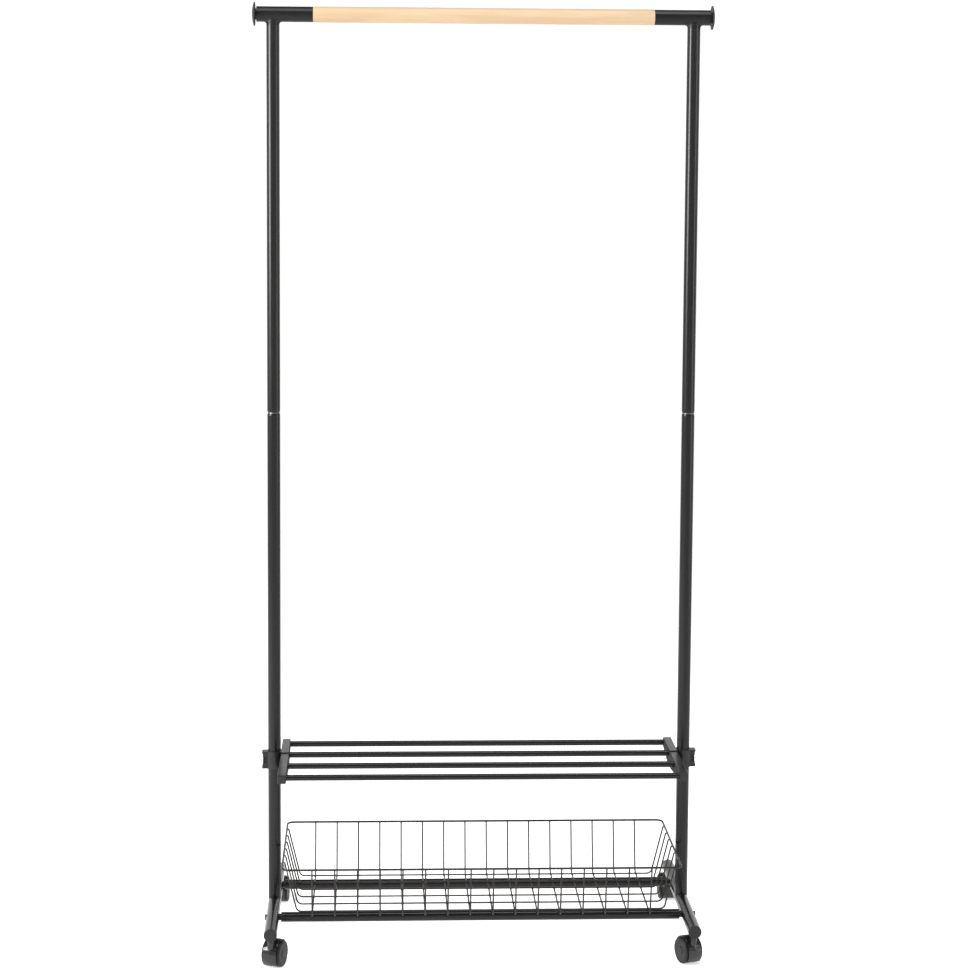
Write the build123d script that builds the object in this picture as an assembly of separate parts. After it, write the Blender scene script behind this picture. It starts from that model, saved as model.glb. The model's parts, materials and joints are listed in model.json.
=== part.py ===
from build123d import *
from math import asin, cos, radians, sin
import os

# Rolling clothes rack, in millimetres. +Z is up, +X is to the right and -Y is the front.
# The origin is on the floor, halfway between the two posts.

# Uprights and hanging bar
POST_SPACING = 800.0
TUBE_DIAMETER = 25.0
TUBE_WALL = 1.2
BAR_HEIGHT = 1790.0
BAR_OVER_SLEEVE = 0.4
BAR_TENON_LENGTH = 34.0
SLEEVE_OVER_TUBE = 2.1
SLEEVE_WALL = 1.5
SLEEVE_INWARD = 76.0
SLEEVE_OUTWARD = 31.0
NECK_LENGTH = 6.0
NECK_FILLET = 5.0
SPIGOT_LENGTH = 45.0
JOINT_HEIGHT = 1033.0
SWAGE_LENGTH = 60.0
SWAGE_TAPER = 5.0
JOINT_GAP = 0.1
ROLLED_END_LENGTH = 3.0
ROLLED_END_DEPTH = 0.8

# End knobs of the hanging bar
KNOB_DIAMETER = 46.0
KNOB_NECK_DIAMETER = 21.0
KNOB_NECK_LENGTH = 6.0
KNOB_PLUG_LENGTH = 14.0
KNOB_THICKNESS = 2.6
KNOB_DOME_RADIUS = 70.0

# Bar screws
BAR_SCREW_DIAMETER = 3.5
BAR_SCREW_HEAD = 7.0
BAR_SCREW_HEAD_HEIGHT = 1.8
BAR_SCREW_DEPTH = 12.0
BAR_SCREW_FROM_MOUTH = 17.0

# Base
HOOD_TO_LEG = 4.5
LEG_LENGTH = 426.0
CAP_THICKNESS = 2.0
CAP_PLUG_LENGTH = 6.0
CROSSBAR_DIAMETER = 19.0
CROSSBAR_HALF_SPACING = 103.0
CROSSBAR_END_GAP = 5.5
PLUG_FLANGE_THICKNESS = 1.5
PLUG_NOSE_DIAMETER = 13.0
PLUG_DEPTH = 22.0
BASE_BOLT_DIAMETER = 6.0
BASE_BOLT_HEAD = 12.0
BASE_BOLT_HEAD_HEIGHT = 2.4
BASE_BOLT_GRIP = 20.0
POST_BOLT_DIAMETER = 8.0
POST_BOLT_HEAD = 14.0
POST_BOLT_HEAD_HEIGHT = 4.0
INSERT_LENGTH = 20.0
INSERT_RISE = 3.0

# Shelf
SHELF_ABOVE_RIM = 181.0
ROD_DIAMETER = 11.5
ROD_WALL = 0.8
ROD_PITCH = 86.0
RODS_BEHIND_POST = 1
RODS_BEFORE_POST = 2
ROD_SOCKET_DEPTH = 11.0
BRACKET_WIDTH = 15.5
BRACKET_BACK_ROOF = 3.25
BRACKET_FRONT_ROOF = 1.45
BRACKET_FLOOR = 3.75
BRACKET_OVERHANG = 9.0
BRACKET_END_ROUND = 3.0
BRACKET_EDGE_ROUND = 1.0
COLLAR_HEIGHT = 34.0
COLLAR_WALL = 3.2
COLLAR_RUN = 0.3
LUG_BEYOND_COLLAR = 8.0
LUG_WIDTH = 17.0
LUG_FLANGE = 5.0
LUG_WEB_INSET = 1.6
LUG_SLIT = 1.6
POCKET_DEPTH = 4.6
POCKET_WIDTH = 6.4
CLAMP_SCREW_DIAMETER = 4.0
CLAMP_HEAD_DIAMETER = 6.0
CLAMP_HEAD_HEIGHT = 3.4
CLAMP_NUT_THICKNESS = 3.2

# Basket
BASKET_HEIGHT = 99.0
BASKET_END_GAP = 5.5
RIM_DEPTH = 328.0
RIM_CORNER = 14.0
RIM_WIRE = 4.0
WIRE = 3.0
CROSS_WIRES = 16
CROSS_WIRE_TO_RIM_END = 56.6
LONG_WIRES = 6
LONG_WIRE_TO_RIM_SIDE = 50.25
WALL_SLOPE = 27.0
WIRE_BEND = 11.0
BASKET_SEAT = 0.3

# Casters
WHEEL_DIAMETER = 50.0
WHEEL_EDGE = 2.4
CASTER_WIDTH = 36.4
CASTER_TRAIL = 20.0
CASTER_INSET = 15.0
HOOD_WIDTH = 27.0
HOOD_WALL = 1.8
HOOD_RUN = 0.7
HOOD_REAR_ANGLE = 8.0
HOOD_FRONT_ANGLE = 222.0
WEB_THICKNESS = 3.0
HUB_DIAMETER = 20.0
WEB_RUN = 0.4
AXLE_DIAMETER = 6.0
AXLE_COVER = 3.6
STEM_DIAMETER = 8.0
STEM_BOSS_DIAMETER = 12.0
STEM_SEAT_DEPTH = 9.0
STEM_GAP = 0.6
BUSH_DIAMETER = 12.0
BUSH_LIP = 1.0
BUSH_LENGTH = 17.0
GUSSET_WIDTH = 15.0
GUSSET_RAISE = 1.0

# Each caster trails behind its stem, turned this many degrees about the stem.
SWIVEL_ANGLES = {
    "front_left": -20.0,
    "front_right": 22.0,
    "rear_left": -6.0,
    "rear_right": 3.0,
}

# Clearances
PRESS_CLEARANCE = 0.02
SLIP_CLEARANCE = 0.1
TURNING_CLEARANCE = 0.05
HOLE_CLEARANCE = 0.25

# Sizes that follow from the ones above
POST_X = POST_SPACING / 2
TUBE_BORE = TUBE_DIAMETER - 2 * TUBE_WALL
SLEEVE_DIAMETER = TUBE_DIAMETER + 2 * SLEEVE_OVER_TUBE
SLEEVE_BORE = SLEEVE_DIAMETER - 2 * SLEEVE_WALL
BAR_DIAMETER = SLEEVE_DIAMETER + 2 * BAR_OVER_SLEEVE
BAR_TENON_DIAMETER = SLEEVE_BORE - 2 * SLIP_CLEARANCE
SLEEVE_MOUTH_X = POST_X - SLEEVE_INWARD
SLEEVE_END_X = POST_X + SLEEVE_OUTWARD
NECK_BOTTOM = BAR_HEIGHT - SLEEVE_DIAMETER / 2 - NECK_LENGTH
WHEEL_RADIUS = WHEEL_DIAMETER / 2
HOOD_INNER_RADIUS = WHEEL_RADIUS + HOOD_RUN
HOOD_OUTER_RADIUS = HOOD_INNER_RADIUS + HOOD_WALL
LEG_BOTTOM = WHEEL_RADIUS + HOOD_OUTER_RADIUS + HOOD_TO_LEG
LEG_HEIGHT = LEG_BOTTOM + TUBE_DIAMETER / 2
LEG_TOP = LEG_BOTTOM + TUBE_DIAMETER
LEG_INNER_X = POST_X - TUBE_DIAMETER / 2
CROSSBAR_BORE = CROSSBAR_DIAMETER - 2 * TUBE_WALL
CROSSBAR_END_X = LEG_INNER_X - CROSSBAR_END_GAP
CROSS_WIRE_HEIGHT = LEG_HEIGHT + CROSSBAR_DIAMETER / 2 + BASKET_SEAT + WIRE / 2
LONG_WIRE_HEIGHT = CROSS_WIRE_HEIGHT + WIRE + PRESS_CLEARANCE
RIM_HEIGHT = CROSS_WIRE_HEIGHT + BASKET_HEIGHT
RIM_LENGTH = POST_SPACING - TUBE_DIAMETER - 2 * BASKET_END_GAP - RIM_WIRE
SHELF_HEIGHT = RIM_HEIGHT + SHELF_ABOVE_RIM
COLLAR_BORE = TUBE_DIAMETER + 2 * COLLAR_RUN
COLLAR_DIAMETER = COLLAR_BORE + 2 * COLLAR_WALL
LUG_REACH = COLLAR_DIAMETER / 2 + LUG_BEYOND_COLLAR
BRACKET_OUTER_X = POST_X - TUBE_DIAMETER / 2 - COLLAR_RUN
BRACKET_INNER_X = BRACKET_OUTER_X - BRACKET_WIDTH
BRACKET_BACK_Y = RODS_BEHIND_POST * ROD_PITCH + BRACKET_OVERHANG
BRACKET_FRONT_Y = -RODS_BEFORE_POST * ROD_PITCH - BRACKET_OVERHANG
COLLAR_TOP = SHELF_HEIGHT + ROD_DIAMETER / 2 + BRACKET_BACK_ROOF
COLLAR_BOTTOM = COLLAR_TOP - COLLAR_HEIGHT
CLAMP_X = POST_X + (COLLAR_DIAMETER / 2 + LUG_REACH - LUG_WEB_INSET) / 2
CLAMP_HEIGHT = (COLLAR_TOP + COLLAR_BOTTOM) / 2
WIRE_TO_RIM = (RIM_WIRE + WIRE) / 2
BUSH_BOTTOM = LEG_BOTTOM - BUSH_LIP
STEM_BOSS_TOP = BUSH_BOTTOM - STEM_GAP
STEM_TOP = BUSH_BOTTOM + BUSH_LENGTH - 1.0
CASTER_Y = LEG_LENGTH / 2 - CASTER_INSET

SIDES = {"left": -1, "right": 1}
ENDS = {"front": -1, "rear": 1}


def bar_between(start, end, diameter):
    """Round bar with flat ends from one point to the other."""
    run = Vector(*end) - Vector(*start)
    on_axis = (Align.CENTER, Align.CENTER, Align.MIN)
    return Plane(origin=start, z_dir=run) * Cylinder(diameter / 2, run.length, align=on_axis)


def tube_between(start, end, outer, inner):
    """Round tube with flat ends from one point to the other."""
    return bar_between(start, end, outer) - bar_between(start, end, inner)


def block(x_range, y_range, z_range):
    """Box from its two limits along each axis."""
    size = [high - low for low, high in (x_range, y_range, z_range)]
    middle = [(high + low) / 2 for low, high in (x_range, y_range, z_range)]
    return Pos(*middle) * Box(*size)


def wire_along(path, diameter):
    """Round wire whose centre follows the path."""
    return sweep(Plane(origin=path @ 0, z_dir=path % 0) * Circle(diameter / 2), path=path)


def upright_cylinder(x, y, bottom, top, diameter):
    """Vertical round bar at one place on the plan."""
    return bar_between((x, y, bottom), (x, y, top), diameter)


def leg_envelope(side):
    """Full round bar with the outside of one leg, longer than the leg at both ends."""
    return bar_between(
        (side * POST_X, -LEG_LENGTH, LEG_HEIGHT), (side * POST_X, LEG_LENGTH, LEG_HEIGHT), TUBE_DIAMETER
    )


# Hanging bar


def hanging_bar():
    """Wooden bar, turned down at each end to enter the two sleeves."""
    shoulder = SLEEVE_MOUTH_X
    tenon_end = shoulder + BAR_TENON_LENGTH
    bar = bar_between((-shoulder, 0, BAR_HEIGHT), (shoulder, 0, BAR_HEIGHT), BAR_DIAMETER)
    bar += bar_between((-tenon_end, 0, BAR_HEIGHT), (tenon_end, 0, BAR_HEIGHT), BAR_TENON_DIAMETER)
    for side in SIDES.values():
        bar -= bar_screw(side, PRESS_CLEARANCE)
    return bar


def bar_tee(side):
    """Sleeve for the bar with a filleted neck below and a spigot that enters the upper post."""
    mouth = (side * SLEEVE_MOUTH_X, 0, BAR_HEIGHT)
    outer_end = (side * SLEEVE_END_X, 0, BAR_HEIGHT)
    tee = bar_between(mouth, outer_end, SLEEVE_DIAMETER)
    tee += upright_cylinder(side * POST_X, 0, NECK_BOTTOM, BAR_HEIGHT, TUBE_DIAMETER)
    saddle = [
        edge for edge in tee.edges()
        if NECK_BOTTOM + 1 < edge.center().Z < BAR_HEIGHT
        and abs(edge.center().X - side * POST_X) < TUBE_DIAMETER
        and edge.geom_type not in (GeomType.LINE, GeomType.CIRCLE)
    ]
    tee = fillet(saddle, NECK_FILLET)
    tee += upright_cylinder(
        side * POST_X, 0, NECK_BOTTOM - SPIGOT_LENGTH, NECK_BOTTOM, TUBE_BORE - 2 * SLIP_CLEARANCE
    )
    tee -= bar_between(mouth, outer_end, SLEEVE_BORE)
    return tee - bar_screw(side, HOLE_CLEARANCE)


def bar_screw(side, clearance=0.0):
    """Round-headed screw from behind through the sleeve into the wood, or the hole that it needs."""
    x = side * (SLEEVE_MOUTH_X + BAR_SCREW_FROM_MOUTH)
    seat = SLEEVE_DIAMETER / 2
    tip = seat - BAR_SCREW_DEPTH - clearance
    shank = bar_between(
        (x, tip, BAR_HEIGHT), (x, seat + clearance, BAR_HEIGHT), BAR_SCREW_DIAMETER + 2 * clearance
    )
    if clearance:
        return shank
    top = seat + BAR_SCREW_HEAD_HEIGHT
    return shank + bar_between((x, seat, BAR_HEIGHT), (x, top, BAR_HEIGHT), BAR_SCREW_HEAD)


def end_knob(side):
    """Shallow dome whose edge turns back towards the rack, on a neck and a plug in the end of the sleeve."""
    outer, inner = KNOB_DOME_RADIUS, KNOB_DOME_RADIUS - KNOB_THICKNESS
    centre = SLEEVE_END_X + KNOB_NECK_LENGTH - inner
    middle = (outer + inner) / 2
    edge_angle = asin((KNOB_DIAMETER - KNOB_THICKNESS) / 2 / middle)
    neck_angle = asin(KNOB_NECK_DIAMETER / 2 / inner)
    tip_angle = edge_angle + KNOB_THICKNESS / 2 / middle

    def on_dome(radius, angle):
        return (centre + radius * cos(angle), radius * sin(angle))

    plug_end = SLEEVE_END_X - KNOB_PLUG_LENGTH
    plug = SLEEVE_BORE / 2 - SLIP_CLEARANCE
    outline = [
        ThreePointArc(on_dome(outer, 0), on_dome(outer, edge_angle / 2), on_dome(outer, edge_angle)),
        ThreePointArc(on_dome(outer, edge_angle), on_dome(middle, tip_angle), on_dome(inner, edge_angle)),
        ThreePointArc(
            on_dome(inner, edge_angle),
            on_dome(inner, (edge_angle + neck_angle) / 2),
            on_dome(inner, neck_angle),
        ),
        Polyline(
            on_dome(inner, neck_angle),
            (SLEEVE_END_X, KNOB_NECK_DIAMETER / 2),
            (SLEEVE_END_X, plug),
            (plug_end, plug),
            (plug_end, 0),
            on_dome(outer, 0),
        ),
    ]
    knob = Pos(0, 0, BAR_HEIGHT) * revolve(make_face(Curve() + outline), Axis.X)
    return knob if side > 0 else mirror(knob, about=Plane.YZ)


# Uprights


def upper_post(side):
    """Tube from the joint up to the neck of the tee, its lower end rolled in above the lower post."""
    x = side * POST_X
    bottom = JOINT_HEIGHT + JOINT_GAP
    shoulder = bottom + ROLLED_END_LENGTH
    rolled_end = Cone(
        TUBE_DIAMETER / 2 - ROLLED_END_DEPTH, TUBE_DIAMETER / 2, ROLLED_END_LENGTH,
        align=(Align.CENTER, Align.CENTER, Align.MIN),
    )
    post = Pos(x, 0, bottom) * rolled_end + upright_cylinder(x, 0, shoulder, NECK_BOTTOM, TUBE_DIAMETER)
    return post - upright_cylinder(x, 0, bottom - 1, NECK_BOTTOM + 1, TUBE_BORE)


def lower_post(side):
    """Tube coped over the leg below and swaged down above to enter the upper post."""
    x = side * POST_X
    shoulder = JOINT_HEIGHT - SWAGE_TAPER
    swage = TUBE_BORE - 2 * SLIP_CLEARANCE
    post = upright_cylinder(x, 0, LEG_HEIGHT, shoulder, TUBE_DIAMETER)
    taper = Cone(TUBE_DIAMETER / 2, swage / 2, SWAGE_TAPER, align=(Align.CENTER, Align.CENTER, Align.MIN))
    post += Pos(x, 0, shoulder) * taper
    post += upright_cylinder(x, 0, JOINT_HEIGHT, JOINT_HEIGHT + SWAGE_LENGTH, swage)
    post -= upright_cylinder(x, 0, LEG_HEIGHT, shoulder - SWAGE_TAPER, TUBE_BORE)
    post -= upright_cylinder(x, 0, LEG_HEIGHT, JOINT_HEIGHT + SWAGE_LENGTH, swage - 2 * TUBE_WALL)
    return post - leg_envelope(side)


def post_insert(side):
    """Threaded plug pressed into the foot of the lower post."""
    bottom = LEG_TOP + INSERT_RISE
    bore = POST_BOLT_DIAMETER + 2 * PRESS_CLEARANCE
    top = bottom + INSERT_LENGTH
    outside = TUBE_BORE - 2 * PRESS_CLEARANCE
    return tube_between((side * POST_X, 0, bottom), (side * POST_X, 0, top), outside, bore)


def post_bolt(side):
    """Bolt up through the leg into the post insert, with its head under the leg."""
    x = side * POST_X
    tip = LEG_TOP + INSERT_RISE + INSERT_LENGTH - 2
    bolt = upright_cylinder(x, 0, LEG_BOTTOM - POST_BOLT_HEAD_HEIGHT, LEG_BOTTOM, POST_BOLT_HEAD)
    bolt = chamfer(bolt.faces().sort_by(Axis.Z)[0].edges(), POST_BOLT_HEAD_HEIGHT / 4)
    return bolt + upright_cylinder(x, 0, LEG_BOTTOM, tip, POST_BOLT_DIAMETER)


# Base


def leg_tube(side):
    """Leg from front to back, drilled for the post bolt, the crossbar bolts and the caster bushes."""
    x = side * POST_X
    half = LEG_LENGTH / 2
    leg = tube_between((x, -half, LEG_HEIGHT), (x, half, LEG_HEIGHT), TUBE_DIAMETER, TUBE_BORE)
    leg -= upright_cylinder(x, 0, LEG_BOTTOM - 1, LEG_TOP + 1, POST_BOLT_DIAMETER + 2 * HOLE_CLEARANCE)
    for end in ENDS.values():
        y = end * CROSSBAR_HALF_SPACING
        leg -= bar_between(
            (x - TUBE_DIAMETER, y, LEG_HEIGHT), (x + TUBE_DIAMETER, y, LEG_HEIGHT),
            BASE_BOLT_DIAMETER + 2 * HOLE_CLEARANCE,
        )
        leg -= upright_cylinder(
            x, end * CASTER_Y, LEG_BOTTOM - 1, LEG_HEIGHT, BUSH_DIAMETER + 2 * PRESS_CLEARANCE
        )
    return leg


def leg_cap(side, end):
    """Round cap over the end of a leg with a short plug inside it."""
    x, face = side * POST_X, end * LEG_LENGTH / 2
    cap = bar_between((x, face, LEG_HEIGHT), (x, face + end * CAP_THICKNESS, LEG_HEIGHT), TUBE_DIAMETER)
    outer_edge = cap.edges().filter_by(GeomType.CIRCLE).sort_by(Axis.Y)[-1 if end > 0 else 0]
    cap = fillet(outer_edge, CAP_THICKNESS * 0.6)
    plug = TUBE_BORE - 2 * SLIP_CLEARANCE
    return cap + bar_between((x, face - end * CAP_PLUG_LENGTH, LEG_HEIGHT), (x, face, LEG_HEIGHT), plug)


def crossbar(end):
    """Tube between the two legs, short of them by the noses of its end plugs."""
    y = end * CROSSBAR_HALF_SPACING
    return tube_between(
        (-CROSSBAR_END_X, y, LEG_HEIGHT), (CROSSBAR_END_X, y, LEG_HEIGHT), CROSSBAR_DIAMETER, CROSSBAR_BORE
    )


def crossbar_plug(side, end):
    """Plug in a crossbar end: a flange on the tube and a nose coped against the leg, for its bolt."""
    y = end * CROSSBAR_HALF_SPACING
    tube_end = side * CROSSBAR_END_X
    flange_end = side * (CROSSBAR_END_X + PLUG_FLANGE_THICKNESS)
    inner_end = side * (CROSSBAR_END_X - PLUG_DEPTH)
    inside = CROSSBAR_BORE - 2 * SLIP_CLEARANCE
    plug = bar_between((inner_end, y, LEG_HEIGHT), (tube_end, y, LEG_HEIGHT), inside)
    plug += bar_between((tube_end, y, LEG_HEIGHT), (flange_end, y, LEG_HEIGHT), CROSSBAR_DIAMETER)
    plug += bar_between((flange_end, y, LEG_HEIGHT), (side * POST_X, y, LEG_HEIGHT), PLUG_NOSE_DIAMETER)
    plug -= leg_envelope(side)
    bore = BASE_BOLT_DIAMETER + 2 * PRESS_CLEARANCE
    return plug - bar_between((inner_end, y, LEG_HEIGHT), (side * POST_X, y, LEG_HEIGHT), bore)


def base_bolt(side, end):
    """Bolt from the outside of the leg into the crossbar plug, with a domed head."""
    y = end * CROSSBAR_HALF_SPACING
    seat = side * (POST_X + TUBE_DIAMETER / 2)
    top = seat + side * BASE_BOLT_HEAD_HEIGHT
    tip = side * (CROSSBAR_END_X - BASE_BOLT_GRIP)
    head = bar_between((seat, y, LEG_HEIGHT), (top, y, LEG_HEIGHT), BASE_BOLT_HEAD)
    rim = head.edges().filter_by(GeomType.CIRCLE).sort_by(Axis.X)[-1 if side > 0 else 0]
    head = fillet(rim, BASE_BOLT_HEAD_HEIGHT * 0.6)
    return head + bar_between((tip, y, LEG_HEIGHT), (seat, y, LEG_HEIGHT), BASE_BOLT_DIAMETER)


# Shelf


def rod_places():
    """Depth of each shelf rod, from the back one to the front one."""
    return [ROD_PITCH * place for place in range(RODS_BEHIND_POST, -RODS_BEFORE_POST - 1, -1)]


def shelf_rod(y):
    """Tube across the shelf with each end in a blind socket of a bracket."""
    reach = BRACKET_INNER_X + ROD_SOCKET_DEPTH - SLIP_CLEARANCE
    bore = ROD_DIAMETER - 2 * ROD_WALL
    return tube_between((-reach, y, SHELF_HEIGHT), (reach, y, SHELF_HEIGHT), ROD_DIAMETER, bore)


def bracket_beam():
    """Side beam of the right bracket: deep at the collar, shallow at its rounded ends, lower in front."""
    low = SHELF_HEIGHT - ROD_DIAMETER / 2 - BRACKET_FLOOR
    front_top = SHELF_HEIGHT + ROD_DIAMETER / 2 + BRACKET_FRONT_ROOF
    step = -COLLAR_DIAMETER / 2
    outline = Polyline(
        (BRACKET_BACK_Y, COLLAR_TOP),
        (BRACKET_BACK_Y, low),
        (COLLAR_DIAMETER / 2, COLLAR_BOTTOM),
        (step, COLLAR_BOTTOM),
        (BRACKET_FRONT_Y, low),
        (BRACKET_FRONT_Y, front_top),
        (step, front_top),
        (step, COLLAR_TOP),
        close=True,
    )
    side_face = Plane.YZ * make_face(outline)
    beam = extrude(Pos(BRACKET_INNER_X, 0, 0) * side_face, BRACKET_WIDTH, dir=(1, 0, 0))
    upper_ends = [
        edge for edge in beam.edges().filter_by(Axis.X)
        if edge.center().Z > SHELF_HEIGHT and not BRACKET_FRONT_Y + 1 < edge.center().Y < BRACKET_BACK_Y - 1
    ]
    beam = fillet(upper_ends, BRACKET_END_ROUND)
    outline_edges = beam.faces().filter_by(Axis.X).edges()
    return fillet(outline_edges, BRACKET_EDGE_ROUND)


def bracket_lug():
    """Flanged lug outside the collar with a pocket in its front for the screw and one behind for the nut."""
    web_end = POST_X + LUG_REACH - LUG_WEB_INSET
    flange_end = POST_X + LUG_REACH
    width = (-LUG_WIDTH / 2, LUG_WIDTH / 2)
    lug = block((POST_X, web_end), width, (COLLAR_BOTTOM, COLLAR_TOP))
    for low in (COLLAR_BOTTOM, COLLAR_TOP - LUG_FLANGE):
        flange = block((POST_X, flange_end), width, (low, low + LUG_FLANGE))
        lug += fillet(flange.edges().filter_by(Axis.Z).group_by(Axis.X)[-1], LUG_FLANGE / 2)
    pocket_x = (CLAMP_X - POCKET_WIDTH / 2, CLAMP_X + POCKET_WIDTH / 2)
    pocket_z = (COLLAR_BOTTOM + LUG_FLANGE + POCKET_WIDTH, COLLAR_TOP - LUG_FLANGE - POCKET_WIDTH)
    lug -= block(pocket_x, (-LUG_WIDTH / 2 - 1, -LUG_WIDTH / 2 + POCKET_DEPTH), pocket_z)
    lug -= block(pocket_x, (LUG_WIDTH / 2 - POCKET_DEPTH, LUG_WIDTH / 2 + 1), pocket_z)
    return lug


def shelf_bracket(side):
    """Moulded shelf end: a beam with rod sockets, a split collar round the post and its clamping lug."""
    bracket = bracket_beam()
    bracket += upright_cylinder(POST_X, 0, COLLAR_BOTTOM, COLLAR_TOP, COLLAR_DIAMETER)
    bracket += bracket_lug()
    for y in rod_places():
        socket_end = BRACKET_INNER_X + ROD_SOCKET_DEPTH
        mouth = (BRACKET_INNER_X - 1, y, SHELF_HEIGHT)
        bracket -= bar_between(mouth, (socket_end, y, SHELF_HEIGHT), ROD_DIAMETER + 2 * SLIP_CLEARANCE)
    bracket -= upright_cylinder(POST_X, 0, COLLAR_BOTTOM - 1, COLLAR_TOP + 1, COLLAR_BORE)
    slit = (-LUG_SLIT / 2, LUG_SLIT / 2)
    bracket -= block((POST_X, POST_X + LUG_REACH + 1), slit, (COLLAR_BOTTOM - 1, COLLAR_TOP + 1))
    bracket -= bar_between(
        (CLAMP_X, -LUG_WIDTH, CLAMP_HEIGHT), (CLAMP_X, LUG_WIDTH, CLAMP_HEIGHT),
        CLAMP_SCREW_DIAMETER + 2 * HOLE_CLEARANCE,
    )
    return bracket if side > 0 else mirror(bracket, about=Plane.YZ)


def clamp_screw(side):
    """Cap screw across the slit of a collar, with its head in the front pocket."""
    x = side * CLAMP_X
    seat = -LUG_WIDTH / 2 + POCKET_DEPTH
    tip = LUG_WIDTH / 2 - POCKET_DEPTH + CLAMP_NUT_THICKNESS
    top = seat - CLAMP_HEAD_HEIGHT
    head = bar_between((x, top, CLAMP_HEIGHT), (x, seat, CLAMP_HEIGHT), CLAMP_HEAD_DIAMETER)
    recess = Plane((x, top, CLAMP_HEIGHT), z_dir=(0, 1, 0)) * RegularPolygon(
        CLAMP_HEAD_DIAMETER / 4, 6
    )
    head -= extrude(recess, CLAMP_HEAD_HEIGHT / 2, dir=(0, 1, 0))
    return head + bar_between((x, seat, CLAMP_HEIGHT), (x, tip, CLAMP_HEIGHT), CLAMP_SCREW_DIAMETER)


def clamp_nut(side):
    """Square nut held in the back pocket of a collar lug."""
    x = side * CLAMP_X
    half = CLAMP_HEAD_DIAMETER / 2
    seat = LUG_WIDTH / 2 - POCKET_DEPTH
    nut = block(
        (x - half, x + half), (seat, seat + CLAMP_NUT_THICKNESS), (CLAMP_HEIGHT - half, CLAMP_HEIGHT + half)
    )
    bore = CLAMP_SCREW_DIAMETER + 2 * PRESS_CLEARANCE
    return nut - bar_between((x, seat, CLAMP_HEIGHT), (x, LUG_WIDTH, CLAMP_HEIGHT), bore)


# Basket


def basket_rim():
    """Closed loop of thicker wire round the top of the basket."""
    outline = Pos(0, 0, RIM_HEIGHT) * RectangleRounded(RIM_LENGTH, RIM_DEPTH, RIM_CORNER)
    return wire_along(outline.face().outer_wire(), RIM_WIRE)


def basket_wire(rim_half, floor_height):
    """U-shaped wire in the XZ plane whose sloping legs end beside a rim at rim_half from the middle."""
    top = rim_half - WIRE_TO_RIM - PRESS_CLEARANCE
    foot = rim_half - WALL_SLOPE
    path = FilletPolyline(
        (-top, 0, RIM_HEIGHT), (-foot, 0, floor_height), (foot, 0, floor_height), (top, 0, RIM_HEIGHT),
        radius=WIRE_BEND,
    )
    return wire_along(path, WIRE)


def evenly_spaced(count, span):
    """Places of a centred row that fills a span."""
    return [span * (place / (count - 1) - 0.5) for place in range(count)]


def basket_cross_wires():
    """Wires from front to back, the lower layer of the floor."""
    wire = Rot(0, 0, 90) * basket_wire(RIM_DEPTH / 2, CROSS_WIRE_HEIGHT)
    return [Pos(x, 0, 0) * wire for x in evenly_spaced(CROSS_WIRES, RIM_LENGTH - 2 * CROSS_WIRE_TO_RIM_END)]


def basket_long_wires():
    """Wires from side to side, resting on the cross wires."""
    wire = basket_wire(RIM_LENGTH / 2, LONG_WIRE_HEIGHT)
    return [Pos(0, y, 0) * wire for y in evenly_spaced(LONG_WIRES, RIM_DEPTH - 2 * LONG_WIRE_TO_RIM_SIDE)]


# Casters: each piece is made with its stem on the Z axis and its wheels trailing towards +Y.


def across_wheel(low, high, diameter):
    """Round bar along the wheel axis between two places across the caster."""
    return bar_between((low, CASTER_TRAIL, WHEEL_RADIUS), (high, CASTER_TRAIL, WHEEL_RADIUS), diameter)


def hood_opening():
    """Wedge below the hood, from its front lip round under the wheels to its rear lip."""
    reach = 2 * WHEEL_DIAMETER
    turns = [HOOD_FRONT_ANGLE, (HOOD_FRONT_ANGLE + 360 + HOOD_REAR_ANGLE) / 2, 360 + HOOD_REAR_ANGLE]
    corners = [(CASTER_TRAIL + reach * cos(radians(a)), WHEEL_RADIUS + reach * sin(radians(a))) for a in turns]
    face = Plane.YZ * make_face(Polyline((CASTER_TRAIL, WHEEL_RADIUS), *corners, close=True))
    return extrude(Pos(-CASTER_WIDTH, 0, 0) * face, 2 * CASTER_WIDTH, dir=(1, 0, 0))


def caster_hood():
    """Hood over both wheels with its middle web, axle hub, stem boss and pointed front gusset."""
    half, web = HOOD_WIDTH / 2, WEB_THICKNESS / 2
    hood = across_wheel(-half, half, 2 * HOOD_OUTER_RADIUS)
    hood -= across_wheel(-half, half, 2 * HOOD_INNER_RADIUS)
    hood += across_wheel(-web, web, 2 * HOOD_INNER_RADIUS + HOOD_WALL)
    gusset_top = WHEEL_RADIUS + HOOD_OUTER_RADIUS
    gusset = Plane.XZ * make_face(
        Polyline(
            (-GUSSET_WIDTH / 2, gusset_top), (GUSSET_WIDTH / 2, gusset_top), (0, WHEEL_RADIUS + 6),
            close=True,
        )
    )
    gusset = extrude(gusset, 2 * CASTER_TRAIL, dir=(0, -1, 0)) + extrude(gusset, CASTER_TRAIL / 2, dir=(0, 1, 0))
    hood += gusset & across_wheel(-half, half, 2 * (HOOD_OUTER_RADIUS + GUSSET_RAISE))
    boss_bottom = STEM_BOSS_TOP - STEM_BOSS_DIAMETER - STEM_SEAT_DEPTH / 2
    hood += upright_cylinder(0, 0, boss_bottom, STEM_BOSS_TOP, STEM_BOSS_DIAMETER)
    hood -= across_wheel(web, half + 1, 2 * HOOD_INNER_RADIUS)
    hood -= across_wheel(-half - 1, -web, 2 * HOOD_INNER_RADIUS)
    hood -= hood_opening()
    hood += across_wheel(-web, web, HUB_DIAMETER)
    hood -= across_wheel(-half, half, AXLE_DIAMETER + 2 * PRESS_CLEARANCE)
    stem_hole = STEM_DIAMETER + 2 * PRESS_CLEARANCE
    return hood - upright_cylinder(0, 0, STEM_BOSS_TOP - STEM_SEAT_DEPTH, STEM_BOSS_TOP + 1, stem_hole)


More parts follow.
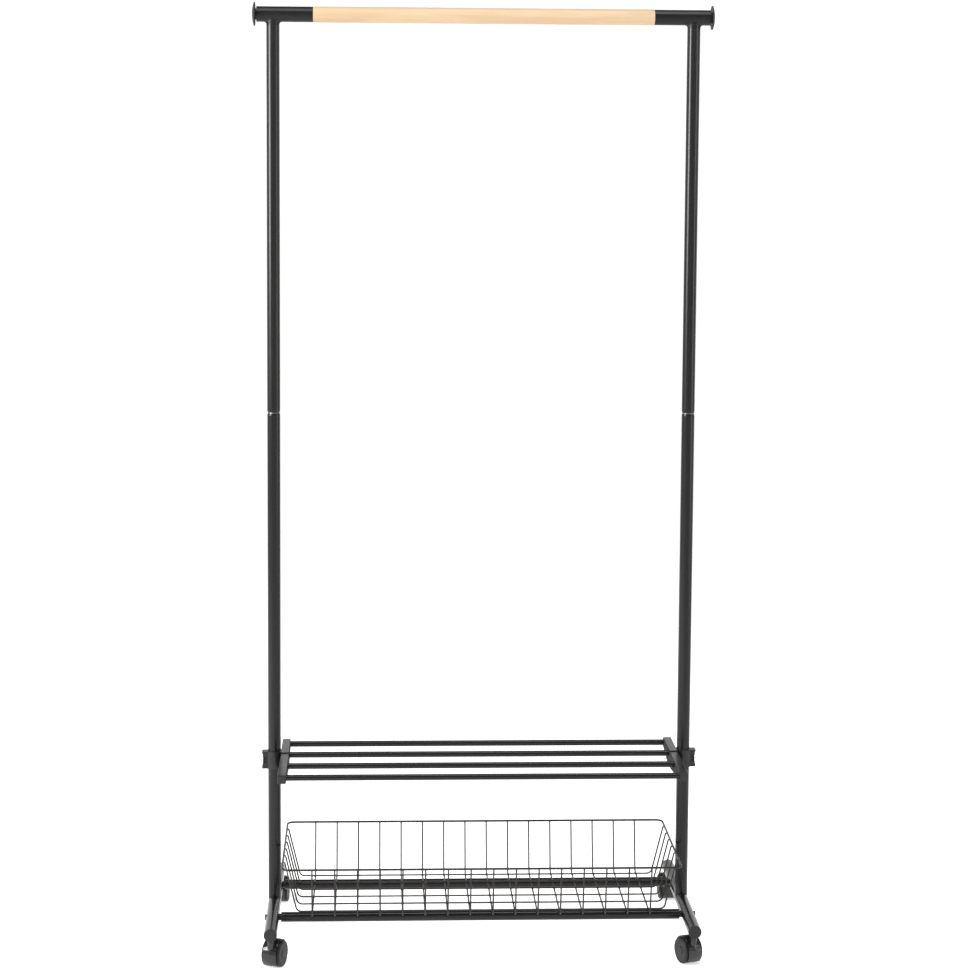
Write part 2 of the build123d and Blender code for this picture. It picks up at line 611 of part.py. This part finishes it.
def caster_stem():
    """Steel pin fixed in the hood boss, turning in the bush of the leg."""
    bottom = STEM_BOSS_TOP - STEM_SEAT_DEPTH + PRESS_CLEARANCE
    return upright_cylinder(0, 0, bottom, STEM_TOP, STEM_DIAMETER)


def caster_axle():
    """Steel pin through the hub, with a wheel on each end."""
    reach = CASTER_WIDTH / 2 - AXLE_COVER - WEB_RUN
    return across_wheel(-reach, reach, AXLE_DIAMETER)


def caster_wheel(side):
    """One of the twin wheels: a narrow tread inside the hood, an outer disc and a blind bore."""
    inner = WEB_THICKNESS / 2 + WEB_RUN
    outer = CASTER_WIDTH / 2
    wheel = across_wheel(inner, outer, WHEEL_DIAMETER)
    wheel = chamfer(wheel.edges().filter_by(GeomType.CIRCLE).sort_by(Axis.X)[-1], WHEEL_EDGE / 2)
    bore = AXLE_DIAMETER + 2 * TURNING_CLEARANCE
    wheel -= across_wheel(inner - 1, outer - AXLE_COVER, bore)
    return wheel if side > 0 else mirror(wheel, about=Plane.YZ)


def caster_bush(side, end):
    """Bush pressed up into the underside of the leg, with a lip below."""
    x, y = side * POST_X, end * CASTER_Y
    bush = upright_cylinder(x, y, BUSH_BOTTOM, BUSH_BOTTOM + BUSH_LENGTH, BUSH_DIAMETER)
    bore = STEM_DIAMETER + 2 * TURNING_CLEARANCE
    return bush - upright_cylinder(x, y, BUSH_BOTTOM - 1, BUSH_BOTTOM + BUSH_LENGTH + 1, bore)


def caster_pieces():
    """Every caster piece by name, each caster turned to its angle under its corner."""
    makers = {
        "hood": caster_hood(),
        "stem": caster_stem(),
        "axle": caster_axle(),
        "wheel_left": caster_wheel(-1),
        "wheel_right": caster_wheel(1),
    }
    pieces = {}
    for corner, angle in SWIVEL_ANGLES.items():
        end, side = corner.split("_")
        place = Pos(SIDES[side] * POST_X, ENDS[end] * CASTER_Y, 0) * Rot(0, 0, angle)
        for piece, shape in makers.items():
            pieces[f"caster_{corner}_{piece}"] = place * shape
    return pieces


def rack_pieces():
    """Every node by name: one shape, or a list where several alike share the node."""
    corners = [(side, end) for side in SIDES.values() for end in ENDS.values()]
    pieces = {
        "hanging_bar": hanging_bar(),
        "bar_screws": [bar_screw(side) for side in SIDES.values()],
        "post_inserts": [post_insert(side) for side in SIDES.values()],
        "post_bolts": [post_bolt(side) for side in SIDES.values()],
        "crossbar_plugs": [crossbar_plug(*corner) for corner in corners],
        "base_bolts": [base_bolt(*corner) for corner in corners],
        "caster_bushes": [caster_bush(*corner) for corner in corners],
        "clamp_screws": [clamp_screw(side) for side in SIDES.values()],
        "clamp_nuts": [clamp_nut(side) for side in SIDES.values()],
        "basket_rim": basket_rim(),
        "basket_cross_wires": basket_cross_wires(),
        "basket_long_wires": basket_long_wires(),
    }
    side_makers = {
        "bar_tee": bar_tee,
        "end_knob": end_knob,
        "upper_post": upper_post,
        "lower_post": lower_post,
        "leg_tube": leg_tube,
        "shelf_bracket": shelf_bracket,
    }
    for name, side in SIDES.items():
        for piece, make in side_makers.items():
            pieces[f"{piece}_{name}"] = make(side)
        for end_name, end in ENDS.items():
            pieces[f"leg_cap_{end_name}_{name}"] = leg_cap(side, end)
    for end_name, end in ENDS.items():
        pieces[f"crossbar_{end_name}"] = crossbar(end)
    for number, y in enumerate(rod_places(), start=1):
        pieces[f"shelf_rod_{number}"] = shelf_rod(y)
    pieces.update(caster_pieces())
    return pieces


def write_parts():
    """Write one STEP file for each node."""
    os.makedirs("parts", exist_ok=True)
    for name, shape in rack_pieces().items():
        shapes = shape if isinstance(shape, list) else [shape]
        solids = [solid for piece in shapes for solid in piece.solids()]
        whole = solids[0] if len(solids) == 1 else Compound(children=solids)
        export_step(whole, f"parts/{name}.step")


write_parts()
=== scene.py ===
import json
from math import pi, radians

import bmesh
import bpy
import numpy as np
from mathutils import Matrix, Vector


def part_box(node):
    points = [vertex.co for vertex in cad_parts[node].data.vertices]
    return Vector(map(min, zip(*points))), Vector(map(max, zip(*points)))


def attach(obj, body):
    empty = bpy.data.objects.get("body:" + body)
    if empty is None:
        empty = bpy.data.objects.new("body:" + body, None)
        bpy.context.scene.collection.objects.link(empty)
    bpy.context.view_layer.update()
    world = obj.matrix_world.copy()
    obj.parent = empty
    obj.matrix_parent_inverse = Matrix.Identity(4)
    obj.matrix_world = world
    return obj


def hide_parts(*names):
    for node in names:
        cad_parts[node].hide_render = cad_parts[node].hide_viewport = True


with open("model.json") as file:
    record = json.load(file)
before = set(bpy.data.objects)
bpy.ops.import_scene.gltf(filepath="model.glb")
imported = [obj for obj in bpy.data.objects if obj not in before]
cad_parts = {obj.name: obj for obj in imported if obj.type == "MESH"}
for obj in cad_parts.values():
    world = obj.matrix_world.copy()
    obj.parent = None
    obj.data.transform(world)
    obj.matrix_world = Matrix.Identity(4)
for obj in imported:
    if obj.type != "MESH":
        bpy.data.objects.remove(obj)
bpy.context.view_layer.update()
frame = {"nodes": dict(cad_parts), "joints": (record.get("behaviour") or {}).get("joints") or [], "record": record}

# Looks of the rolling clothes rack. Metres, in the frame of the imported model: +Z up, -Y the front.

CAMERA_PLACE = Vector((-0.2092, -4.6691, 1.5571))
CAMERA_AIM = Vector((0.0060, 0.0, 1.0805))
CAMERA_ROLL = 0.0066
CAMERA_LENS = 90.49
CAMERA_SHIFT_UP = -0.1
SENSOR_WIDTH = 36.0
FAR_CLIP = 200.0
ROOM_LIGHT = 0.34
BACKDROP_GLOW = 0.5
FLAT_FLOOR_RADIUS = 9.0
SWEEP_RADIUS = 6.0

# Two points nearer than this are one point.
JOIN_DISTANCE = 1e-6

# Scale of the texture of every moulded surface, of the orange peel of the coat, and the height of both.
SKIN_SCALE = 1300.0
PEEL_SCALE = 900.0
PEEL_STRENGTH = 0.12
RELIEF = 0.0002

# Height below the upper post over which the coat gives way to bare steel.
BARE_FROM = 0.0020
BARE_TO = 0.0008

# Distance outwards from the inner side of a bracket over which its matt flank, darkened by painted shade, gives
# way to satin.
SHADED_FLANK_FROM = 0.0002
SHADED_FLANK_TO = 0.0006

# Basket wires and the weld beads between them. A bead on the rim sits a little inside the rim wire.
RIM_WIRE = 0.004
WIRE = 0.003
CROSS_WIRES = 16
LONG_WIRES = 6
BEAD_RADIUS = 0.0021
BEAD_FLATNESS = 0.7
BEAD_INSET = 0.0002

# Softened edges and the corners of the wheels
HOOD_EDGE = 0.0004
FASTENER_EDGE = 0.0003
SHARP_EDGE_DEGREES = 35
WHEEL_CORNER = 0.0006
LARGEST_CUT_SHARE = 0.45

# How finely the round surfaces are divided
FLOOR_SEGMENTS = 72
SWEEP_POINTS = 24
WHEEL_SEGMENTS = 96
CORNER_POINTS = 4
BEAD_SEGMENTS = 8
BEAD_RINGS = 5

SIDES = ("left", "right")
CORNERS = ("front_left", "front_right", "rear_left", "rear_right")

# Outline of a wheel as (distance from the middle of the caster, radius), from its blind bore to its hub.
WHEEL_OUTLINE = np.array([
    (0.01460, 0.0), (0.01460, 0.00305), (0.00190, 0.00305), (0.00190, 0.0238), (0.00310, 0.0250),
    (0.01540, 0.0250), (0.01740, 0.0238), (0.01770, 0.0224), (0.01690, 0.0218), (0.01690, 0.0210),
    (0.01760, 0.0204), (0.01710, 0.0080), (0.01800, 0.0072), (0.01820, 0.0060), (0.01820, 0.0),
])

NODES = frame["nodes"]
JOINTS = {joint["name"]: joint for joint in frame["joints"]}


# Shader maths


class Value:
    """A socket of a finish that can be used in plain arithmetic."""

    def __init__(self, finish, socket):
        self.finish = finish
        self.socket = socket

    def _with(self, operation, *operands):
        inputs = dict(enumerate(operands))
        return self.finish.add("ShaderNodeMath", {"operation": operation}, inputs)

    def __add__(self, other):
        return self._with("ADD", self, other)

    def __radd__(self, other):
        return self._with("ADD", other, self)

    def __sub__(self, other):
        return self._with("SUBTRACT", self, other)

    def __rsub__(self, other):
        return self._with("SUBTRACT", other, self)

    def __mul__(self, other):
        return self._with("MULTIPLY", self, other)

    def __abs__(self):
        return self._with("ABSOLUTE", self)

    def step(self, low, high):
        """0 below low, 1 above high and a smooth rise between them."""
        settings = {"interpolation_type": "SMOOTHSTEP"}
        inputs = {"Value": self, "From Min": low, "From Max": high}
        return self.finish.add("ShaderNodeMapRange", settings, inputs)


class Finish:
    """A procedural material whose varying inputs are built from values."""

    def __init__(self, name, **constants):
        self.material = bpy.data.materials.new(name)
        self.material.use_nodes = True
        self.nodes = self.material.node_tree.nodes
        self.links = self.material.node_tree.links
        self.shader = self.nodes["Principled BSDF"]
        self.feed(self.shader, constants)

    def feed(self, node, inputs):
        """Set or link each named input of a node."""
        for name, value in inputs.items():
            if isinstance(value, Value):
                self.links.new(value.socket, node.inputs[name])
            else:
                node.inputs[name].default_value = value

    def add(self, kind, settings=None, inputs=None, output=0):
        """One node, with its settings made before its inputs, as the value of one output."""
        node = self.nodes.new(kind)
        for name, value in (settings or {}).items():
            setattr(node, name, value)
        self.feed(node, inputs or {})
        return Value(self, node.outputs[output])

    def place(self, scale=(1, 1, 1)):
        """Object coordinates, stretched."""
        coordinates = self.add("ShaderNodeTexCoord", output="Object")
        return self.add("ShaderNodeMapping", {}, {"Vector": coordinates, "Scale": scale})

    def axis(self, name):
        """One object coordinate as a number."""
        coordinates = self.add("ShaderNodeTexCoord", output="Object")
        return self.add("ShaderNodeSeparateXYZ", {}, {"Vector": coordinates}, name)

    def noise(self, scale, stretch=(1, 1, 1), detail=3.0, roughness=0.5, distortion=0.0):
        """Cloudy pattern from 0 to 1."""
        inputs = {
            "Vector": self.place(stretch),
            "Scale": scale,
            "Detail": detail,
            "Roughness": roughness,
            "Distortion": distortion,
        }
        return self.add("ShaderNodeTexNoise", {}, inputs)

    def blend(self, mask, low, high):
        """Colour that goes from low to high as the mask goes from 0 to 1."""
        node = self.nodes.new("ShaderNodeMix")
        node.data_type = "RGBA"
        sockets = {"Factor_Float": mask, "A_Color": low, "B_Color": high}
        by_name = {socket.identifier: socket for socket in node.inputs}
        for name, value in sockets.items():
            if isinstance(value, Value):
                self.links.new(value.socket, by_name[name])
            else:
                by_name[name].default_value = value if name == "Factor_Float" else (*value, 1.0)
        return Value(self, next(s for s in node.outputs if s.identifier == "Result_Color"))

    def bump(self, height, strength, distance):
        """Normal that follows a height."""
        inputs = {"Height": height, "Strength": strength, "Distance": distance}
        return self.add("ShaderNodeBump", {}, inputs, "Normal")

    def wear(self, **varying):
        """Link the varying inputs of the shader and give back the material."""
        self.feed(self.shader, {name.replace("_", " "): value for name, value in varying.items()})
        return self.material


# Finishes


def pale_wood():
    """Pale planed wood: fine long streaks, broad soft bands and short darker pores, all along the bar."""
    finish = Finish("pale_wood", **{"Specular IOR Level": 0.4})
    bands = finish.noise(26.0, (0.16, 1, 1), detail=2.0, distortion=0.6)
    streaks = finish.noise(190.0, (0.03, 1, 1), detail=4.0, roughness=0.6)
    pores = finish.noise(620.0, (0.02, 1, 1), detail=1.0).step(0.63, 0.72)
    grain = (bands * 0.65 + streaks * 0.5).step(0.3, 0.85)
    colour = finish.blend(grain, (0.506, 0.374, 0.237), (0.42, 0.29, 0.172))
    colour = finish.blend(pores * 0.45, colour, (0.40, 0.25, 0.13))
    normal = finish.bump(streaks * 0.6 - pores * 0.5, 0.25, 0.0004)
    return finish.wear(Base_Color=colour, Roughness=0.42 + streaks * 0.22, Normal=normal)


def coated_metal(name, tone, shine, peel_scale=PEEL_SCALE):
    """Black powder coat: orange peel, faint handling marks in its shine and a little dust."""
    finish = Finish(name, **{"Specular IOR Level": 0.27})
    peel = finish.noise(peel_scale, detail=2.0)
    marks = finish.noise(38.0, (1, 1, 0.35), detail=4.0, roughness=0.65)
    dust = finish.noise(9.0, detail=5.0).step(0.5, 0.9)
    colour = finish.blend(dust * 0.35, tone, tuple(1.8 * part + 0.003 for part in tone))
    roughness = shine + marks * 0.12 + dust * 0.06
    normal = finish.bump(peel, PEEL_STRENGTH, RELIEF)
    return finish.wear(Base_Color=colour, Roughness=roughness, Normal=normal)


def jointed_post():
    """Powder coat with bare steel in the depth of the groove where the tube enters the one above."""
    finish = Finish("jointed_post", **{"Specular IOR Level": 0.27})
    height = finish.axis("Z")
    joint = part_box("upper_post_left")[0].z
    bare = height.step(joint - BARE_FROM, joint - BARE_TO) * 0.8
    rub = finish.noise(700.0, (1, 1, 0.2), detail=3.0)
    marks = finish.noise(38.0, (1, 1, 0.35), detail=4.0, roughness=0.65)
    colour = finish.blend(bare, (0.005, 0.0046, 0.0045), (0.20, 0.19, 0.185))
    roughness = (0.18 + marks * 0.1) * (1 - bare) + (0.3 + rub * 0.2) * bare
    peel = finish.noise(PEEL_SCALE, detail=2.0)
    normal = finish.bump(peel, PEEL_STRENGTH, RELIEF)
    return finish.wear(Base_Color=colour, Metallic=bare, Roughness=roughness, Normal=normal)


def moulded_plastic(name, tone, shine, level=0.22, depth=0.3):
    """Moulded plastic: spark-eroded texture with soft flow marks in its shine."""
    finish = Finish(name, **{"Specular IOR Level": level})
    skin = finish.noise(SKIN_SCALE, detail=3.0, roughness=0.6)
    flow = finish.noise(55.0, (1, 0.5, 1), detail=3.0, distortion=0.8)
    colour = finish.blend(flow.step(0.3, 0.8), tone, tuple(1.5 * part for part in tone))
    roughness = shine + flow * 0.1 + skin * 0.05
    return finish.wear(Base_Color=colour, Roughness=roughness, Normal=finish.bump(skin, depth, RELIEF))


def bracket_moulding_with_painted_shade():
    """Moulded plastic, satin all round but matt on the flat inner flank, where the colour is darkened by painted
    shade.
    """
    finish = Finish("bracket_moulding_with_painted_shade", **{"Specular IOR Level": 0.3})
    skin = finish.noise(SKIN_SCALE, detail=3.0, roughness=0.6)
    flow = finish.noise(55.0, (1, 0.5, 1), detail=3.0, distortion=0.8)
    inner_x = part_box("shelf_bracket_right")[0].x
    matt_shaded_flank = 1.0 - abs(finish.axis("X")).step(inner_x + SHADED_FLANK_FROM, inner_x + SHADED_FLANK_TO)
    satin = finish.blend(flow.step(0.3, 0.8), (0.010, 0.0095, 0.0095), (0.014, 0.0135, 0.013))
    # Painted shade: the inner flank gets a darker colour than the satin.
    colour = finish.blend(matt_shaded_flank, satin, (0.005, 0.005, 0.005))
    roughness = 0.22 + flow * 0.1 + skin * 0.05 + matt_shaded_flank * 0.55
    return finish.wear(Base_Color=colour, Roughness=roughness, Normal=finish.bump(skin, 0.25, RELIEF))


def bare_steel():
    """Turned steel: fine rings along the piece and light staining."""
    finish = Finish("bare_steel", Metallic=1.0)
    turned = finish.noise(1500.0, (0.3, 0.3, 1), detail=2.0)
    stain = finish.noise(140.0, detail=4.0)
    colour = finish.blend(stain.step(0.35, 0.8), (0.62, 0.61, 0.59), (0.42, 0.41, 0.40))
    normal = finish.bump(turned, 0.2, 0.0001)
    return finish.wear(Base_Color=colour, Roughness=0.22 + stain * 0.2, Normal=normal)


def pale_floor():
    """White floor with a glow of its own and the faintest mottling."""
    glow = {"Emission Color": (1.0, 1.0, 1.0, 1.0), "Emission Strength": BACKDROP_GLOW}
    finish = Finish("pale_floor", **{"Specular IOR Level": 0.1}, **glow)
    mottle = finish.noise(3.0, detail=4.0)
    colour = finish.blend(mottle, (0.90, 0.90, 0.90), (0.93, 0.93, 0.93))
    return finish.wear(Base_Color=colour, Roughness=0.85 + mottle * 0.1)


def finishes():
    """Every finish of the object by its slot in the record."""
    hood_tone, wheel_tone = (0.006, 0.0055, 0.0055), (0.007, 0.0065, 0.0065)
    return {
        "pale_wood": pale_wood(),
        "black_tube": coated_metal("black_tube", (0.005, 0.0046, 0.0045), 0.17),
        "black_wire": coated_metal("black_wire", (0.012, 0.010, 0.009), 0.3, peel_scale=1600.0),
        "black_fastener": coated_metal("black_fastener", (0.008, 0.008, 0.0085), 0.3, peel_scale=2200.0),
        "black_cap": moulded_plastic("black_cap", (0.013, 0.012, 0.012), 0.36),
        "black_moulding": bracket_moulding_with_painted_shade(),
        "caster_hood_plastic": moulded_plastic("caster_hood_plastic", hood_tone, 0.08, level=0.48, depth=0.06),
        "caster_wheel_plastic": moulded_plastic("caster_wheel_plastic", wheel_tone, 0.38, depth=0.2),
        "bare_steel": bare_steel(),
    }


def paint(piece, material):
    """Give every material slot of a piece the same material."""
    slots = piece.data.materials
    if not slots:
        slots.append(material)
    for place in range(len(slots)):
        slots[place] = material


# Stage


def studio_floor():
    """Round white sweep: z(r) is 0 out to the flat radius, then a quarter circle going up."""
    turn = np.linspace(0.0, 2 * pi, FLOOR_SEGMENTS, endpoint=False)[:, None]
    rise = np.linspace(0.0, pi / 2, SWEEP_POINTS)
    flat = np.array([0.0, 3.0, 6.0])
    radius = np.concatenate([flat, FLAT_FLOOR_RADIUS + SWEEP_RADIUS * np.sin(rise)])[None, :]
    height = np.concatenate([0 * flat, SWEEP_RADIUS - SWEEP_RADIUS * np.cos(rise)])[None, :]
    points = np.stack([radius * np.cos(turn), radius * np.sin(turn), height + 0 * turn], axis=-1)
    floor = surface("studio_floor", points)
    close_up(floor.data)
    paint(floor, pale_floor())


def soft_light(name, place, aim, width, height, power):
    """Rectangular soft light at a place, turned to its aim."""
    data = bpy.data.lights.new(name, "AREA")
    data.shape = "RECTANGLE"
    data.size = width
    data.size_y = height
    data.energy = power
    lamp = bpy.data.objects.new(name, data)
    bpy.context.scene.collection.objects.link(lamp)
    lamp.location = place
    lamp.rotation_euler = (Vector(aim) - Vector(place)).to_track_quat("-Z", "Y").to_euler()


def studio_lights():
    """Tall key light at the front left, a weaker one on the right, one overhead and an even room."""
    middle, upper_middle = (0.0, 0.0, 0.95), (0.0, 0.0, 1.3)
    soft_light("key_light", (-3.3, -1.6, 2.0), upper_middle, width=1.5, height=1.9, power=200.0)
    soft_light("side_light", (3.4, -1.6, 1.4), middle, width=0.9, height=2.4, power=34.0)
    soft_light("top_light", (0.2, -0.9, 4.4), middle, width=3.0, height=1.2, power=90.0)
    world = bpy.data.worlds.new("bright_room")
    world.use_nodes = True
    room = world.node_tree.nodes["Background"]
    room.inputs["Color"].default_value = (1.0, 1.0, 1.0, 1.0)
    room.inputs["Strength"].default_value = ROOM_LIGHT
    bpy.context.scene.world = world
    bpy.context.scene.view_settings.view_transform = "Standard"


def studio_camera():
    """Camera a little left of the middle and a little lower than the bar, looking slightly down."""
    data = bpy.data.cameras.new("camera")
    data.lens = CAMERA_LENS
    data.sensor_width = SENSOR_WIDTH
    data.shift_y = CAMERA_SHIFT_UP
    data.clip_end = FAR_CLIP
    camera = bpy.data.objects.new("camera", data)
    bpy.context.scene.collection.objects.link(camera)
    turn = (CAMERA_AIM - CAMERA_PLACE).to_track_quat("-Z", "Y").to_matrix().to_4x4()
    camera.matrix_world = Matrix.Translation(CAMERA_PLACE) @ turn @ Matrix.Rotation(CAMERA_ROLL, 4, "Z")
    bpy.context.scene.camera = camera


# Surfaces


def grid_faces(rows, columns):
    """Corner numbers of the faces of a grid whose last row is joined to its first."""
    row = np.arange(rows)[:, None]
    column = np.arange(columns - 1)[None, :]
    next_row, next_column = (row + 1) % rows, column + 1
    corners = [row * columns + column, next_row * columns + column]
    corners += [next_row * columns + next_column, row * columns + next_column]
    return np.stack(np.broadcast_arrays(*corners), axis=-1).reshape(-1, 4)


def surface(name, points):
    """Mesh object of one grid of points, joined to itself along its rows."""
    return mesh_piece(name, points, grid_faces(*points.shape[:2]))


def surface_set(name, points):
    """One mesh object of many alike grids of points, each joined to itself along its rows."""
    count, rows, columns = points.shape[:3]
    faces = grid_faces(rows, columns)
    starts = np.arange(count)[:, None, None] * rows * columns
    return mesh_piece(name, points, (faces[None] + starts).reshape(-1, 4))


def mesh_piece(name, points, faces):
    """Smooth mesh object from its points and faces."""
    mesh = bpy.data.meshes.new(name)
    mesh.from_pydata(points.reshape(-1, 3).tolist(), [], faces.tolist())
    mesh.shade_smooth()
    piece = bpy.data.objects.new(name, mesh)
    bpy.context.scene.collection.objects.link(piece)
    return piece


def close_up(mesh):
    """Join points that lie together, so that seams and poles are closed, and turn every face outwards."""
    work = bmesh.new()
    work.from_mesh(mesh)
    bmesh.ops.remove_doubles(work, verts=work.verts, dist=JOIN_DISTANCE)
    bmesh.ops.recalc_face_normals(work, faces=work.faces)
    work.to_mesh(mesh)
    work.free()


def stand_for(piece, node_name):
    """Show a piece instead of a CAD node, on the same body and in the same finish."""
    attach(piece, BODY_OF_NODE[node_name])
    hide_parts(node_name)
    dress(piece, SLOT_OF_NODE[node_name])


def dress(piece, slot_name):
    """Give a piece the finish of a slot of the record."""
    paint(piece, FINISHES[slot_name])


def softened(node_name, width):
    """Copy of a CAD node, its split points joined and its sharp edges bevelled, in place of the node."""
    node = NODES[node_name]
    mesh = node.data.copy()
    mesh.transform(node.matrix_world)
    close_up(mesh)
    piece = bpy.data.objects.new(f"soft_{node_name}", mesh)
    bpy.context.scene.collection.objects.link(piece)
    bevel = piece.modifiers.new("edges", "BEVEL")
    bevel.width = width
    bevel.segments = 2
    bevel.limit_method = "ANGLE"
    bevel.angle_limit = radians(SHARP_EDGE_DEGREES)
    bevel.harden_normals = True
    stand_for(piece, node_name)


def rounded(profile, radius, steps):
    """Profile whose every inner corner is cut back by up to radius and replaced by a quadratic curve."""
    before, corner, after = profile[:-2], profile[1:-1], profile[2:]
    t = np.linspace(0.0, 1.0, steps)[None, :, None]

    def cut_back(other):
        run = other - corner
        length = np.linalg.norm(run, axis=1, keepdims=True)
        return corner + run * np.minimum(radius / length, LARGEST_CUT_SHARE)

    start, end = cut_back(before)[:, None], cut_back(after)[:, None]
    curves = (1 - t) ** 2 * start + 2 * t * (1 - t) * corner[:, None] + t**2 * end
    return np.concatenate([profile[:1], curves.reshape(-1, 2), profile[-1:]])


def caster_wheel(corner_name, side_name):
    """Wheel turned from its outline (x, r): centre + x * axis + r * (cos a * up + sin a * across)."""
    joint = JOINTS[f"caster_{corner_name}_wheel_{side_name}_spin"]
    centre, axis = np.array(joint["pos_m"]), np.array(joint["axis"])
    up = np.array([0.0, 0.0, 1.0])
    across = np.cross(up, axis)
    outline = rounded(WHEEL_OUTLINE, WHEEL_CORNER, CORNER_POINTS)
    outward = 1.0 if side_name == "right" else -1.0
    turn = np.linspace(0.0, 2 * pi, WHEEL_SEGMENTS, endpoint=False)[:, None, None]
    x, radius = outward * outline[None, :, :1], outline[None, :, 1:]
    points = centre + x * axis + radius * (np.cos(turn) * up + np.sin(turn) * across)
    name = f"caster_{corner_name}_wheel_{side_name}"
    wheel = surface(f"turned_{name}", points)
    close_up(wheel.data)
    stand_for(wheel, name)


def weld_nuggets():
    """Flattened beads, (a cos u cos v, a sin u cos v, b sin v), where the wires of the basket cross."""
    rim, cross, along = (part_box(f"basket_{part}") for part in ("rim", "cross_wires", "long_wires"))
    x = np.linspace(cross[0].x + WIRE / 2, cross[1].x - WIRE / 2, CROSS_WIRES)
    y = np.linspace(along[0].y + WIRE / 2, along[1].y - WIRE / 2, LONG_WIRES)
    floor_height = along[0].z
    rim_height = (rim[0].z + rim[1].z) / 2
    floor_x, floor_y = (grid.ravel() for grid in np.meshgrid(x, y))
    rim_y = rim[1].y - RIM_WIRE - BEAD_INSET
    rim_x = rim[1].x - RIM_WIRE - BEAD_INSET

    def at(x, y, z):
        return np.stack(np.broadcast_arrays(x, y, z), axis=1)

    places = np.concatenate([
        at(floor_x, floor_y, floor_height),
        *[at(x, side * rim_y, rim_height) for side in (-1, 1)],
        *[at(side * rim_x, y, rim_height) for side in (-1, 1)],
    ])
    u = np.linspace(0.0, 2 * pi, BEAD_SEGMENTS, endpoint=False)[:, None]
    v = np.linspace(-pi / 2, pi / 2, BEAD_RINGS)[None, :]
    bead = [np.cos(u) * np.cos(v), np.sin(u) * np.cos(v), BEAD_FLATNESS * np.sin(v) + 0 * u]
    points = places[:, None, None, :] + BEAD_RADIUS * np.stack(bead, axis=-1)[None]
    nuggets = surface_set("basket_weld_nuggets", points)
    close_up(nuggets.data)
    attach(nuggets, "basket")
    dress(nuggets, "black_wire")


FINISHES = finishes()
BODIES = frame["record"]["behaviour"]["bodies"]
BODY_OF_NODE = {node_name: body for body, node_names in BODIES.items() for node_name in node_names}
SLOT_OF_NODE = {part["node"]: part["material_slot"] for part in frame["record"]["subparts"]}
for node_name, node in NODES.items():
    paint(node, FINISHES[SLOT_OF_NODE[node_name]])
POST_FINISH = jointed_post()
# The tees get a rougher copy of the tube coat in a darker tone; the darker tone is painted shade.
SHADED_TEE_FINISH = coated_metal("matt_shaded_tee", (0.003, 0.0028, 0.0026), 0.32)
for side_name in SIDES:
    paint(NODES[f"lower_post_{side_name}"], POST_FINISH)
    paint(NODES[f"bar_tee_{side_name}"], SHADED_TEE_FINISH)

for corner_name in CORNERS:
    softened(f"caster_{corner_name}_hood", HOOD_EDGE)
    for side_name in SIDES:
        caster_wheel(corner_name, side_name)
for node_name in ("base_bolts", "post_bolts", "clamp_nuts"):
    softened(node_name, FASTENER_EDGE)
weld_nuggets()

studio_floor()
studio_lights()
studio_camera()
